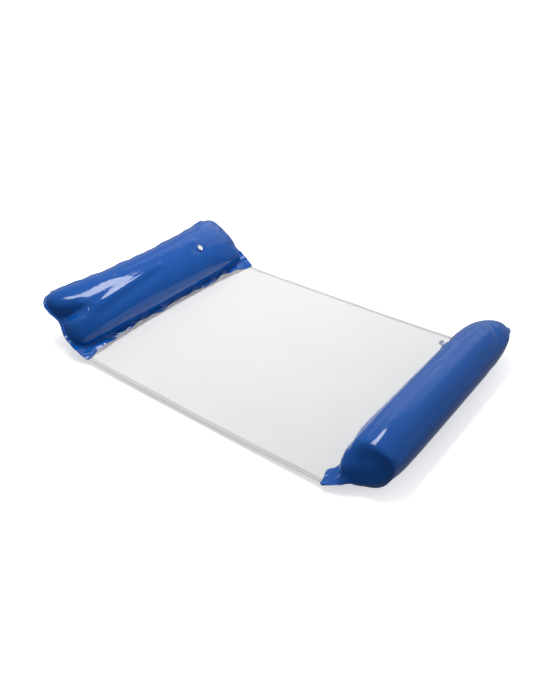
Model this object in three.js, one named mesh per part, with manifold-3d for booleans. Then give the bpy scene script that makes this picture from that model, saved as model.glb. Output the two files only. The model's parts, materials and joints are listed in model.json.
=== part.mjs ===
// Inflatable pool hammock: a fabric panel between an inflated headrest and an inflated footrest.
// Millimetres. +X runs from the headrest to the footrest, +Y across the float, +Z up.
// The origin is on the floor, under the middle of the float's bounding box.
import * as THREE from 'three';
import { mergeVertices } from 'three/addons/utils/BufferGeometryUtils.js';
import Module from 'manifold-3d';

const wasm = await Module();
wasm.setup();

// ---- Driving dimensions -------------------------------------------------------------------

const GAP = 0.3; // clearance between pieces that touch
const PANEL_LENGTH = 761; // from the headrest seam to the footrest seam
const PANEL_WIDTH = 700;
const PANEL_HEIGHT = 15; // middle of the fabric above the floor
const FABRIC = 0.6; // woven polyester panel
const FOLD_ROOM = 0.6; // each side of a fold line stays this far from it
const HEM_WIDTH = 12;
const HEM_LAYER = 0.4;
const HEM_FOLD_ROOM = 1.4;
const THREAD_WIDTH = 1.2;
const THREAD_HEIGHT = 0.5;
const THREAD_INSET = 6; // seam stitching from the panel's edge
const HEM_THREAD_INSET = 2.4; // hem stitching from the hem's inner edge
const MESH_THICKNESS = 0.8;
const FILM = 0.4; // PVC film
const WELD = 9; // width of the flat weld at the back and at both ends

// One chamber is two films welded round their edge. Its section is two half ellipses on a tilted
// mid-plane whose lower edge, the front, faces the panel. Air draws the films in at mid-length, so
// the seam with the panel bows by seamBow and the back weld by backBow, and both ends bulge by
// endBulge. valveS and valveT place the valve on the upper film, from -1 to 1.
const HEADREST = {
  name: 'headrest',
  inward: 1, // along X, from the chamber to the panel
  centreX: -494,
  centreY: 5,
  centreZ: 86.5,
  tilt: THREE.MathUtils.degToRad(39),
  halfWidth: 95,
  upperRise: 66.5,
  lowerRise: 85,
  frontHalfLength: 345,
  backHalfLength: 318,
  endBulge: 21,
  endPower: 5, // the higher, the squarer the ends
  seamBow: 24,
  backBow: 19,
  filmCover: 0.66, // share of the front weld that the films cover, before the bare mesh
  valveS: 0.1,
  valveT: 0.47,
  valveOut: 0,
};
const FOOTREST = {
  name: 'footrest',
  inward: -1,
  centreX: 451.5,
  centreY: 24,
  centreZ: 57,
  tilt: THREE.MathUtils.degToRad(28),
  halfWidth: 66,
  upperRise: 64,
  lowerRise: 61,
  frontHalfLength: 372,
  backHalfLength: 338,
  endBulge: 11,
  endPower: 4.5,
  seamBow: 0,
  backBow: 0,
  filmCover: 0.5,
  valveS: 0.5,
  valveT: 0.43,
  valveOut: 11,
};
const ACROSS_STEPS = 12; // grid steps across a film, between the welds
const ALONG_STEPS = 24; // grid steps along a film, between the welds
const SEAM_STEPS = 16; // straight steps that make a bowed seam
const MESH_TUCK = 0.3; // share of the front weld between the chamber and the mesh strip's hidden edge
const SLOPE_STEP = 1e-3; // step in s and in t that finds the slope of a film
const MERGE_DISTANCE = 1e-4;

// Valve, in its own frame: +Z points out of the chamber and z = 0 is the film's outer face.
const ROUND_STEPS = 20;
const VALVE_FLANGE_R = 14;
const VALVE_FLANGE_TOP = 1.5;
const VALVE_SLEEVE_R = 7.6;
const VALVE_SLEEVE_DEPTH = 8;
const VALVE_HOLE_R = 8.2; // hole in the film
const STEM_R = 6.3;
const STEM_BORE_R = 4.8;
const STEM_LENGTH = 20;
const STEM_TOP = 2.5; // with the stem pushed in
const CAP_R = 7.5;
const CAP_THICKNESS = 2;
const PLUG_R = 4.1;
const PLUG_TIP_R = 3;
const PLUG_LENGTH = 5.5;
const FLAP_R = 5.6; // covers the stem's bore from inside
const FLAP_THICKNESS = 0.8;
const TAB_ROOT = 1; // how far the cap's tab runs into the cap
const HINGE_REACH = 9.9; // cap hinge line from the valve's axis
const TETHER_WIDTH = 4;
const TETHER_THICKNESS = 0.7;

const COLOURS = {
  film: { color: 0x1a42a0, roughness: 0.18, metalness: 0 },
  fabric: { color: 0xe6e6e4, roughness: 0.85, metalness: 0 },
  hem: { color: 0xc9c9c7, roughness: 0.85, metalness: 0 },
  mesh: { color: 0xaaa79a, roughness: 0.8, metalness: 0 },
  thread: { color: 0xf2f2f0, roughness: 0.7, metalness: 0 },
  valve: { color: 0xdfe4e6, roughness: 0.25, metalness: 0 },
};

// ---- General helpers ----------------------------------------------------------------------

function named(name, geometry, look) {
  const mesh = new THREE.Mesh(geometry, new THREE.MeshStandardMaterial(COLOURS[look]));
  mesh.name = name;
  return mesh;
}

function weldedPositions(geometry) {
  const bare = geometry.clone();
  bare.deleteAttribute('normal');
  bare.deleteAttribute('uv');
  return mergeVertices(bare, MERGE_DISTANCE);
}

function toManifold(geometry) {
  const welded = weldedPositions(geometry);
  const vertProperties = new Float32Array(welded.attributes.position.array);
  const triVerts = new Uint32Array(welded.index.array);
  return new wasm.Manifold(new wasm.Mesh({ numProp: 3, vertProperties, triVerts }));
}

function fromManifold(solid) {
  const { vertProperties, triVerts } = solid.getMesh();
  const geometry = new THREE.BufferGeometry();
  geometry.setAttribute('position', new THREE.BufferAttribute(vertProperties, 3));
  geometry.setIndex(new THREE.BufferAttribute(triVerts, 1));
  return geometry;
}

const cut = (body, tool) => fromManifold(toManifold(body).subtract(toManifold(tool)));
const join = (body, other) => fromManifold(toManifold(body).add(toManifold(other)));

// A box given by its lowest and highest corners.
function boxBetween(low, high) {
  const size = high.clone().sub(low);
  const middle = low.clone().add(high).multiplyScalar(0.5);
  return new THREE.BoxGeometry(size.x, size.y, size.z).translate(middle.x, middle.y, middle.z);
}

// A solid of revolution about +Z, from a closed profile of [radius, z] points.
function turned(profile) {
  const points = [...profile, profile[0]].map(([r, z]) => new THREE.Vector2(r, z));
  return new THREE.LatheGeometry(points, ROUND_STEPS).rotateX(Math.PI / 2);
}

// A sheet with thickness, from two grids of points that face each other, closed round its rim.
// Both grids are arrays of rows. turnOver swaps which way the triangles run.
function sheetBetween(outer, inner, turnOver) {
  const rows = outer.length;
  const columns = outer[0].length;
  const positions = [...outer.flat(), ...inner.flat()].flatMap((p) => [p.x, p.y, p.z]);
  const outerAt = (i, j) => i * columns + j;
  const innerAt = (i, j) => (rows + i) * columns + j;
  const index = [];
  const quad = (a, b, c, d) => index.push(...(turnOver ? [a, c, b, a, d, c] : [a, b, c, a, c, d]));
  for (let i = 0; i < rows - 1; i += 1) {
    for (let j = 0; j < columns - 1; j += 1) {
      quad(outerAt(i, j), outerAt(i + 1, j), outerAt(i + 1, j + 1), outerAt(i, j + 1));
      quad(innerAt(i, j), innerAt(i, j + 1), innerAt(i + 1, j + 1), innerAt(i + 1, j));
    }
    quad(outerAt(i, 0), innerAt(i, 0), innerAt(i + 1, 0), outerAt(i + 1, 0));
    const last = columns - 1;
    quad(outerAt(i, last), outerAt(i + 1, last), innerAt(i + 1, last), innerAt(i, last));
  }
  for (let j = 0; j < columns - 1; j += 1) {
    quad(outerAt(0, j), outerAt(0, j + 1), innerAt(0, j + 1), innerAt(0, j));
    const last = rows - 1;
    quad(outerAt(last, j), innerAt(last, j), innerAt(last, j + 1), outerAt(last, j + 1));
  }
  const geometry = new THREE.BufferGeometry();
  geometry.setAttribute('position', new THREE.Float32BufferAttribute(positions, 3));
  geometry.setIndex(index);
  return geometry;
}

// ---- Inflated chambers --------------------------------------------------------------------

// Steps from -1 to 1 that crowd towards both ends, where a film curves most.
const crowdedSteps = (count) =>
  Array.from({ length: count + 1 }, (_, i) => Math.sin(Math.PI * (i / count - 0.5)));

// Even steps from -1 to 1.
const evenSteps = (count) => Array.from({ length: count + 1 }, (_, i) => (2 * i) / count - 1);

const midPlaneAcross = (chamber) =>
  new THREE.Vector3(chamber.inward * Math.cos(chamber.tilt), 0, -Math.sin(chamber.tilt));

const midPlaneNormal = (chamber) =>
  new THREE.Vector3(chamber.inward * Math.sin(chamber.tilt), 0, Math.cos(chamber.tilt));

// Half the length of the chamber at s, which runs from -1 at the back weld to 1 at the front weld.
function halfLengthAt(chamber, s) {
  const straight = THREE.MathUtils.lerp(chamber.backHalfLength, chamber.frontHalfLength, (s + 1) / 2);
  return straight + chamber.endBulge * (1 - s * s);
}

// Half the gap between the two films at the welds, wider in front where the mesh strip lies.
const halfWeldGap = (s) => THREE.MathUtils.lerp(GAP / 2, MESH_THICKNESS / 2 + GAP, (s + 1) / 2);

// A point of the mid-plane. flangeX and flangeY say how far it lies into the welds: 0 at the
// chamber's edge, 1 at the outer edge of the weld, negative towards -Y.
function midPlanePoint(chamber, s, t, flangeX = 0, flangeY = 0) {
  const y = chamber.centreY + t * halfLengthAt(chamber, s) + flangeY * WELD;
  const drawnIn = s < 0 ? -s * chamber.backBow * (1 - t * t) : 0;
  const across = chamber.halfWidth * s + drawnIn - (s < 0 ? flangeX * WELD : 0);
  const point = new THREE.Vector3(chamber.centreX, y, chamber.centreZ);
  point.addScaledVector(midPlaneAcross(chamber), across);
  if (s < 0 || flangeX === 0) return point;
  return point.lerp(seamPoint(chamber, t, FOLD_ROOM), flangeX);
}

// A point of the seam between a mesh strip and the panel, moved beyond it towards the chamber.
function seamPoint(chamber, t, beyond) {
  const x = -chamber.inward * (PANEL_LENGTH / 2 + chamber.seamBow * (1 - t * t) + beyond);
  return new THREE.Vector3(x, (t * PANEL_WIDTH) / 2, PANEL_HEIGHT);
}

function riseAt(s, t, rise, endPower) {
  return rise * Math.sqrt(Math.max(0, 1 - s * s)) * Math.sqrt(Math.max(0, 1 - Math.abs(t) ** endPower));
}

// The grid places of a film: across from the back weld's edge to the front weld's edge, and along.
function filmPlaces(chamber) {
  const across = crowdedSteps(ACROSS_STEPS).map((s) => ({ s, flange: 0 }));
  across.unshift({ s: -1, flange: 1 });
  across.push({ s: 1, flange: chamber.filmCover });
  const along = crowdedSteps(ALONG_STEPS).map((t) => ({ t, flange: 0 }));
  along.unshift({ t: -1, flange: -1 });
  along.push({ t: 1, flange: 1 });
  return { across, along };
}

// The inner face of a film: side is 1 for the upper film and -1 for the lower one.
function filmFace(chamber, side) {
  const rise = side > 0 ? chamber.upperRise : chamber.lowerRise;
  const { across, along } = filmPlaces(chamber);
  return across.map((a) => along.map((b) => {
    const point = midPlanePoint(chamber, a.s, b.t, a.flange, b.flange);
    const height = riseAt(a.s, b.t, rise, chamber.endPower) + halfWeldGap(a.s);
    return point.addScaledVector(midPlaneNormal(chamber), side * height);
  }));
}

// The grid's unit normal at row i and column j, from its neighbours.
function gridNormal(grid, i, j) {
  const clampRow = (k) => THREE.MathUtils.clamp(k, 0, grid.length - 1);
  const clampColumn = (k) => THREE.MathUtils.clamp(k, 0, grid[0].length - 1);
  const acrossStep = grid[clampRow(i + 1)][j].clone().sub(grid[clampRow(i - 1)][j]);
  const alongStep = grid[i][clampColumn(j + 1)].clone().sub(grid[i][clampColumn(j - 1)]);
  return acrossStep.cross(alongStep).normalize();
}

const raisedTo = (point, floor) => point.setZ(Math.max(point.z, floor));

// One film as a thin open bowl with a flat weld round it. It lies flat where it meets the floor.
function film(chamber, side) {
  const inner = filmFace(chamber, side);
  const outwards = side * chamber.inward;
  const outer = inner.map((row, i) => row.map((point, j) =>
    raisedTo(point.clone().addScaledVector(gridNormal(inner, i, j), outwards * FILM), 0)));
  inner.forEach((row) => row.forEach((point) => raisedTo(point, FILM)));
  return sheetBetween(outer, inner, outwards < 0);
}

// The open-mesh strip: its hidden edge lies between the films' front welds.
function meshStrip(chamber) {
  const face = (side) => [MESH_TUCK, 1].map((flange) => crowdedSteps(ALONG_STEPS).map((t) => {
    const point = midPlanePoint(chamber, 1, t, flange);
    return point.setZ(point.z + (side * MESH_THICKNESS) / 2);
  }));
  return sheetBetween(face(1), face(-1), chamber.inward < 0);
}

// ---- Valves -------------------------------------------------------------------------------

// The valve's frame on the upper film: outwards along the film's normal, tether uphill.
function valveFrame(chamber) {
  const { valveS: s, valveT: t } = chamber;
  const at = (ds, dt) => midPlanePoint(chamber, s + ds, t + dt).addScaledVector(
    midPlaneNormal(chamber), riseAt(s + ds, t + dt, chamber.upperRise, chamber.endPower) + halfWeldGap(s));
  const outwards = at(SLOPE_STEP, 0).sub(at(-SLOPE_STEP, 0)).cross(at(0, SLOPE_STEP).sub(at(0, -SLOPE_STEP)));
  outwards.multiplyScalar(chamber.inward).normalize();
  const uphill = new THREE.Vector3(0, 0, 1).projectOnPlane(outwards).normalize();
  const sideways = outwards.clone().cross(uphill);
  const frame = new THREE.Group();
  frame.quaternion.setFromRotationMatrix(new THREE.Matrix4().makeBasis(uphill, sideways, outwards));
  frame.position.copy(at(0, 0)).addScaledVector(outwards, FILM);
  return frame;
}

function valveBase() {
  const bore = STEM_R + GAP;
  return turned([
    [bore, -VALVE_SLEEVE_DEPTH], [VALVE_SLEEVE_R, -VALVE_SLEEVE_DEPTH], [VALVE_SLEEVE_R, GAP],
    [VALVE_FLANGE_R, GAP], [VALVE_FLANGE_R, VALVE_FLANGE_TOP], [bore, VALVE_FLANGE_TOP],
  ]);
}

function valveStem(top) {
  const bottom = top - STEM_LENGTH;
  return turned([[STEM_BORE_R, bottom], [STEM_R, bottom], [STEM_R, top], [STEM_BORE_R, top]]);
}

function valveFlap(top) {
  const high = top - STEM_LENGTH - GAP;
  const low = high - FLAP_THICKNESS;
  return turned([[0, low], [FLAP_R, low], [FLAP_R, high], [0, high]]);
}

// The plug cap, with a tab that reaches to the hinge line of its tether.
function valveCap(top) {
  const under = top + GAP;
  const over = under + CAP_THICKNESS;
  const tip = under - PLUG_LENGTH;
  const plug = turned([
    [0, tip], [PLUG_TIP_R, tip], [PLUG_R, under], [CAP_R, under], [CAP_R, over], [0, over],
  ]);
  const low = new THREE.Vector3(CAP_R - TAB_ROOT, -TETHER_WIDTH / 2, under + TETHER_THICKNESS);
  const high = new THREE.Vector3(HINGE_REACH - TETHER_THICKNESS, TETHER_WIDTH / 2, over - TETHER_THICKNESS);
  return join(plug, boxBetween(low, high));
}

// The tether: a strap fixed to the stem's rim that turns up towards the cap's tab.
function valveTether(top) {
  const shape = new THREE.Shape();
  const inner = STEM_R + GAP;
  const outer = HINGE_REACH + TETHER_THICKNESS / 2;
  const [low, high] = [top - TETHER_THICKNESS, top + TETHER_THICKNESS];
  shape.moveTo(inner, low);
  shape.lineTo(outer, low);
  shape.lineTo(outer, high);
  shape.lineTo(outer - TETHER_THICKNESS, high);
  shape.lineTo(outer - TETHER_THICKNESS, top);
  shape.lineTo(inner, top);
  const strap = new THREE.ExtrudeGeometry(shape, { depth: TETHER_WIDTH, bevelEnabled: false });
  return strap.translate(0, 0, -TETHER_WIDTH / 2).rotateX(Math.PI / 2);
}

function valve(chamber) {
  const frame = valveFrame(chamber);
  const top = STEM_TOP + chamber.valveOut;
  frame.add(named(`${chamber.name}_valve_base`, valveBase(), 'film'));
  frame.add(named(`${chamber.name}_valve_stem`, valveStem(top), 'valve'));
  frame.add(named(`${chamber.name}_valve_flap`, valveFlap(top), 'valve'));
  frame.add(named(`${chamber.name}_valve_cap`, valveCap(top), 'valve'));
  frame.add(named(`${chamber.name}_valve_tether`, valveTether(top), 'valve'));
  return frame;
}

// The upper film has a hole for the valve.
function upperFilmWithHole(chamber, frame) {
  const drillLength = 4 * VALVE_SLEEVE_DEPTH;
  const drill = new THREE.CylinderGeometry(VALVE_HOLE_R, VALVE_HOLE_R, drillLength, ROUND_STEPS);
  drill.rotateX(Math.PI / 2);
  frame.updateMatrix();
  drill.applyMatrix4(frame.matrix);
  return cut(film(chamber, 1), drill);
}

function chamberPieces(chamber) {
  const group = new THREE.Group();
  const frame = valve(chamber);
  group.add(named(`${chamber.name}_upper_film`, upperFilmWithHole(chamber, frame), 'film'));
  group.add(named(`${chamber.name}_lower_film`, film(chamber, -1), 'film'));
  group.add(named(`${chamber.name}_mesh_strip`, meshStrip(chamber), 'mesh'));
  group.add(frame);
  return group;
}

// ---- Panel --------------------------------------------------------------------------------

// A box along X from the fold line to the seam of one half; end is -1 for the head half.
function halfLengthBox(end, start, finish, lowY, highY, lowZ, highZ) {
  const [a, b] = [end * start, end * finish].sort((p, q) => p - q);
  return boxBetween(new THREE.Vector3(a, lowY, lowZ), new THREE.Vector3(b, highY, highZ));
}

// The edge binding: a U in section, round the panel's long edge. edge is -1 on the near side.
function hem(end, edge) {
  const face = FABRIC / 2 + GAP;
  const web = PANEL_WIDTH / 2 - HEM_LAYER;
  const inner = PANEL_WIDTH / 2 - HEM_WIDTH;
  const shape = new THREE.Shape();
  shape.moveTo(inner, -face - HEM_LAYER);
  shape.lineTo(PANEL_WIDTH / 2, -face - HEM_LAYER);
  shape.lineTo(PANEL_WIDTH / 2, face + HEM_LAYER);
  shape.lineTo(inner, face + HEM_LAYER);
  shape.lineTo(inner, face);
  shape.lineTo(web, face);
  shape.lineTo(web, -face);
  shape.lineTo(inner, -face);
  const length = PANEL_LENGTH / 2 - 2 * HEM_FOLD_ROOM;
  const band = new THREE.ExtrudeGeometry(shape, { depth: length, bevelEnabled: false });
  band.rotateX(Math.PI / 2).rotateZ(Math.PI / 2); // now runs along +X, with its open side towards -Y
  const startX = end > 0 ? HEM_FOLD_ROOM : -HEM_FOLD_ROOM - length;
  if (edge < 0) band.rotateZ(Math.PI).translate(length, 0, 0);
  return band.translate(startX, 0, PANEL_HEIGHT);
}

function hemThread(end, edge) {
  const middle = edge * (PANEL_WIDTH / 2 - HEM_WIDTH + HEM_THREAD_INSET);
  const low = PANEL_HEIGHT + FABRIC / 2 + GAP + HEM_LAYER + GAP;
  return halfLengthBox(end, 2 * HEM_FOLD_ROOM, PANEL_LENGTH / 2 - 2 * HEM_FOLD_ROOM,
    middle - THREAD_WIDTH / 2, middle + THREAD_WIDTH / 2, low, low + THREAD_HEIGHT);
}

// A row of points along the seam, from the near edge to the far edge of the panel.
function seamRow(chamber, beyond, halfWidth, z) {
  const reach = halfWidth / (PANEL_WIDTH / 2);
  return evenSteps(SEAM_STEPS).map((t) => seamPoint(chamber, t * reach, beyond).setZ(z));
}

function seamThread(chamber) {
  const halfWidth = PANEL_WIDTH / 2 - HEM_WIDTH - 2 * GAP;
  const low = PANEL_HEIGHT + FABRIC / 2 + GAP;
  const face = (z) => [-THREAD_INSET, THREAD_WIDTH - THREAD_INSET].map((beyond) =>
    seamRow(chamber, beyond, halfWidth, z));
  return sheetBetween(face(low + THREAD_HEIGHT), face(low), chamber.inward > 0);
}

function panelHalf(chamber) {
  const halfWidth = PANEL_WIDTH / 2 - HEM_LAYER - GAP;
  const foldRow = (z) => seamRow(chamber, 0, halfWidth, z).map((point) =>
    point.setX(-chamber.inward * FOLD_ROOM));
  const face = (z) => [foldRow(z), seamRow(chamber, -FOLD_ROOM, halfWidth, z)];
  const [low, high] = [PANEL_HEIGHT - FABRIC / 2, PANEL_HEIGHT + FABRIC / 2];
  return sheetBetween(face(high), face(low), chamber.inward > 0);
}

function panelPieces(chamber, half) {
  const end = -chamber.inward;
  const group = new THREE.Group();
  group.add(named(`panel_${half}_half`, panelHalf(chamber), 'fabric'));
  group.add(named(`${half}_seam_thread`, seamThread(chamber), 'thread'));
  for (const [edge, side] of [[-1, 'near'], [1, 'far']]) {
    group.add(named(`${side}_hem_${half}_half`, hem(end, edge), 'hem'));
    group.add(named(`${side}_hem_thread_${half}_half`, hemThread(end, edge), 'thread'));
  }
  return group;
}

// ---- The whole float ----------------------------------------------------------------------

// Moves the float so that the origin lies under the middle of its box, on the floor.
function centredOnFloor(float) {
  float.updateMatrixWorld(true);
  const box = new THREE.Box3().setFromObject(float, true);
  const middle = box.getCenter(new THREE.Vector3());
  float.position.set(-middle.x, -middle.y, -box.min.z);
  return float;
}

const float = new THREE.Group();
float.add(panelPieces(HEADREST, 'head'));
float.add(panelPieces(FOOTREST, 'foot'));
float.add(chamberPieces(HEADREST));
float.add(chamberPieces(FOOTREST));

const assembly = new THREE.Group();
assembly.add(centredOnFloor(float));

export default assembly;
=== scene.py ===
# Looks of the inflatable pool hammock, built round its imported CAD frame. Metres, +Z up.
import json
import math

import bmesh
import bpy
import numpy as np
from mathutils import Matrix, Vector


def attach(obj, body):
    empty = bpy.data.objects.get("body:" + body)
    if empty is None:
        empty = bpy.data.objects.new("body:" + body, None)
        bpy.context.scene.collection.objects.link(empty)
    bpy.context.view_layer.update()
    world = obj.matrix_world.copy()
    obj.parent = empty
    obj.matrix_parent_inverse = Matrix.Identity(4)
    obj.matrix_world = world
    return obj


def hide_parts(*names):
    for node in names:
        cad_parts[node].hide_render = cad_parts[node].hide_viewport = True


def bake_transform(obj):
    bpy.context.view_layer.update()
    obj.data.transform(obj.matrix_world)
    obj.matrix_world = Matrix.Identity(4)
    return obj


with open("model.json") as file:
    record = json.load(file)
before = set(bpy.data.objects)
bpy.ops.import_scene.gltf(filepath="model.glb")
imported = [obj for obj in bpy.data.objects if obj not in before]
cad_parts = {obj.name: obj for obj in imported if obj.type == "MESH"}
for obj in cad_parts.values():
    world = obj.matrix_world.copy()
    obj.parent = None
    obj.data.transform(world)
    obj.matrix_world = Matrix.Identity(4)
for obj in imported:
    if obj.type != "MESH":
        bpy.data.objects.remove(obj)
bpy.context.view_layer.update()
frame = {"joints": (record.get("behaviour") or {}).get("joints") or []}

JOINTS = {joint["name"]: joint for joint in frame["joints"]}
MIDDLE = np.array(JOINTS["panel_fold"]["pos_m"])  # middle of the panel, at the height of its seams
MM = 0.001

# ---- Driving dimensions, as in the CAD ----

PANEL_LENGTH = 0.761
PANEL_WIDTH = 0.700
FABRIC = 0.0006
HEM_WIDTH = 0.012
HEM_LAYER = 0.0004
SEAM_THREAD_INSET = 0.006
HEM_THREAD_INSET = 0.0024  # from the hem's inner edge
FILM = 0.0004
WELD = 0.009
VALVE_FLANGE_R = 0.014
VALVE_FLANGE_TOP = 0.0015
VALVE_SLEEVE_R = 0.0076
VALVE_SLEEVE_DEPTH = 0.008
VALVE_CLEARANCE = 0.0003
STEM_LENGTH = 0.020
STEM_TOP = 0.0025  # with the stem pushed in
STEM_R = 0.0063
STEM_BORE_R = 0.0048
CAP_R = 0.0075
CAP_THICKNESS = 0.002
PLUG_R = 0.0041
PLUG_TIP_R = 0.003
PLUG_LENGTH = 0.0055
FLAP_R = 0.0056
FLAP_THICKNESS = 0.0008
HINGE_REACH = 0.0099  # cap hinge line from the valve's axis
HINGE_HEIGHT = 0.0013  # cap hinge line above the stem's rim
TETHER_WIDTH = 0.004
TETHER_THICKNESS = 0.0007

# A chamber lies on a plane that is tilted towards the panel. u runs across it towards the panel, y
# along it and n out of it. Shares across run from -1 at its back weld to 1 at its front weld.
#   centre: from the middle of the panel, and its height from the floor
#   rises: how far the upper and the lower film stand out
#   end_power: the larger, the blunter the ends
#   end_drop, end_tuck, end_fold: the near end's weld is lowered, drawn in, and its flange turned down
#   seam_bow, back_bow: how far the seam with the panel and the back weld curve
#   film_cover: the share of the front flange that the films cover, the rest being open mesh
#   corner_overlap, tab_spread: how far the corner tabs reach over the panel and along it, as shares
#   cut_...: the flat films between their welds, before the air draws them in
#   front_corner, back_corner: the weld's round corners, across and along
#   tab_start: the share across at which a corner tab begins
#   back_fold, back_wave: the angle at which the back flange turns down, and how much it ripples
#   valve_out: how far the valve's stem is pulled out
#   crumple, crease_inset: the share of the simulated creases kept, and the cells in which they fade
#   blend_x: the stretch over which the flange bends with the panel
#   notches: (end, share across, depth, pinch), where an end weld is drawn in
#   creases: (side, start, end, depth, width), from (u, y) to (u, y); a ridge has a negative depth
#   facets: (side, three corners), where a film is flattened to a plane
HEADREST = dict(
    name="headrest", panel="panel_head", inward=1,
    centre=(-0.494, 0.005, 0.0865), tilt=math.radians(39),
    half_width=0.095, rises=(0.0665, 0.085), half_length=0.3525, end_power=5.0,
    end_drop=0.0, end_tuck=0.0, end_fold=0.0,
    seam_bow=0.024, back_bow=0.019, film_cover=0.58, corner_overlap=0.10, tab_spread=1.006,
    cut_width=0.270, cut_front_half=0.382, cut_back_half=0.368,
    front_corner=(0.060, 0.050), back_corner=(0.058, 0.046), tab_start=0.45,
    back_fold=math.radians(32), back_wave=1.0, valve_out=0.0,
    stiffness=20, seed=3, crumple=0.27, crease_inset=5, blend_x=(-0.366, -0.335),
    notches=((-1, -0.05, 0.011, 0.45), (1, 0.65, 0.009, 0.0)),
    creases=(
        (1, (0.024, -0.262), (-0.003, -0.002), -0.0035, 0.010),
        (1, (0.048, -0.268), (0.016, -0.010), 0.0040, 0.013),
        (1, (-0.008, -0.352), (0.008, -0.282), 0.0080, 0.012),
        (1, (-0.088, -0.262), (-0.062, -0.236), 0.0030, 0.008),
        (1, (-0.060, 0.335), (-0.040, 0.296), 0.0035, 0.010),
        (1, (0.050, 0.345), (0.040, 0.300), 0.0030, 0.010),
        (-1, (-0.010, -0.350), (0.004, -0.270), 0.0100, 0.014),
        (-1, (0.010, 0.350), (0.000, 0.280), 0.0060, 0.014),
    ),
    facets=(),
)
FOOTREST = dict(
    name="footrest", panel="panel_foot", inward=-1,
    centre=(0.4515, 0.026, 0.057), tilt=math.radians(28),
    half_width=0.066, rises=(0.064, 0.061), half_length=0.366, end_power=5.8,
    end_drop=0.021, end_tuck=0.031, end_fold=math.radians(75),
    seam_bow=0.0, back_bow=0.0, film_cover=0.5, corner_overlap=0.46, tab_spread=1.016,
    cut_width=0.204, cut_front_half=0.396, cut_back_half=0.389,
    front_corner=(0.075, 0.085), back_corner=(0.070, 0.080), tab_start=0.3,
    back_fold=math.radians(86), back_wave=0.25, valve_out=0.011,
    stiffness=10, seed=5, crumple=0.28, crease_inset=14, blend_x=(0.416, 0.385),
    notches=((-1, 0.3, 0.005, 0.0),),
    creases=(
        (1, (-0.013, -0.285), (-0.019, 0.040), 0.0036, 0.008),
        (1, (-0.034, 0.060), (-0.031, 0.250), 0.0026, 0.007),
        (1, (0.022, -0.260), (0.030, -0.060), 0.0012, 0.007),
        (1, (-0.018, 0.300), (-0.070, 0.252), 0.0065, 0.008),
        (1, (0.028, -0.318), (0.046, -0.262), 0.0030, 0.008),
        (-1, (0.000, 0.366), (0.004, 0.300), 0.0050, 0.010),
    ),
    facets=((1, (-0.0132, -0.322, 0.0490), (-0.0396, -0.303, 0.0430), (-0.050, -0.346, 0.000)),),
)

# ---- Grids and simulation ----

CELL = 0.0052  # grid cell of the films
BACK_ROWS = 3  # grid cells across the flange at the back
END_CELLS = 4  # grid cells across the flange at each end
FLANGE_ROWS = 6  # grid cells across the wide flange in front of the chamber
TAB_OVERLAP = 0.030  # how far a film with a share of 2 would reach over the panel
TAB_BULGE = 0.005
TAB_MIDDLE = 0.88  # where a corner tab reaches furthest over the panel, as a share of the half width
TAB_SHARE = 0.07
CORNER_START, TAB_START = 0.72, 0.78  # where the ripples stop and where the films widen, as shares too
LOWER_EDGE = 0.96  # the lower film's reach over the front flange
NET_TUCK = 0.34  # the part of the front flange that has both film and net
NOTCH_WIDTH, PINCH_WIDTH = 0.3, 0.2  # shares across
NOTCH_START, END_START = 2 / 3, 0.8  # where a notch and the shape of an end begin, as shares along
FACET_STRENGTH, FACET_REACH, FACET_FADE = 0.95, 0.075, 0.02
TAB_REACH = 0.25  # how far the seam lies beyond the front weld, as a share of the chamber's half width
TEST_CELL = 0.0075  # grid cell of the simulated flat films
TEST_END_CELLS = 3
START_BULGE = 0.006  # the films start apart, which gives the pressure an inside
START_REACH = 0.030
START_JITTER = 0.0002
PVC_CLOTH = dict(
    quality=8, mass=0.05, air_damping=2, tension_stiffness=60, shear_stiffness=30, bending_stiffness=0.2,
    tension_damping=10, compression_damping=10, shear_damping=10,
    use_pressure=True, uniform_pressure_force=6.0, vertex_group_pressure="pressed",
)
FRAMES = 40
STIFFENER_ROWS = 2  # rows of flange in front of the chamber during the simulation
CREASE_REACH = 3.5  # cells; what varies more slowly than this is shape and not creases
FLOOR_GAP = 0.0002
SEAT_REACH, SEAT_FADE, SEAT_HEIGHT = 0.045, 0.030, 0.03  # the film that is pulled flat round a valve
BACK_GAP, FRONT_GAP = 0.00015, 0.00075  # each film's distance from the weld's middle
# Wave lengths, then heights: metres, but angles for the back flange and shares for the films' edge.
BACK_WAVES = ((0.093, 0.057, 0.171), (0.10, 0.08, 0.12))
FLANGE_WAVES = ((0.071, 0.043, 0.113), (0.0020, 0.0013, 0.0020))
CORNER_WAVES = ((0.029, 0.019), (0.0018, 0.0012))
TAB_WAVES = ((0.031, 0.019), (0.0016, 0.0009))
EDGE_WAVES = ((0.191, 0.107, 0.061), (0.13, 0.10, 0.07))
FABRIC_CELL = 0.0075
NET_CELL = 0.0025
NET_THREAD = 0.00075


# ---- Mesh helpers ----

def make_object(name, vertices, faces):
    mesh = bpy.data.meshes.new(name)
    mesh.from_pydata([tuple(map(float, v)) for v in vertices], [], [tuple(map(int, f)) for f in faces])
    mesh.update()
    mesh.shade_smooth()
    piece = bpy.data.objects.new(name, mesh)
    bpy.context.scene.collection.objects.link(piece)
    return piece


def quads(index):
    """The four corners of each cell of a grid of vertex numbers."""
    return np.stack([index[:-1, :-1], index[1:, :-1], index[1:, 1:], index[:-1, 1:]], -1)


def grid_object(name, grid, flip=False):
    rows, columns = grid.shape[:2]
    faces = quads(np.arange(rows * columns).reshape(rows, columns)).reshape(-1, 4)
    return make_object(name, grid.reshape(-1, 3), faces[:, ::-1] if flip else faces)


def apply_settings(target, settings):
    for key, value in settings.items():
        setattr(target, key, value)


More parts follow.
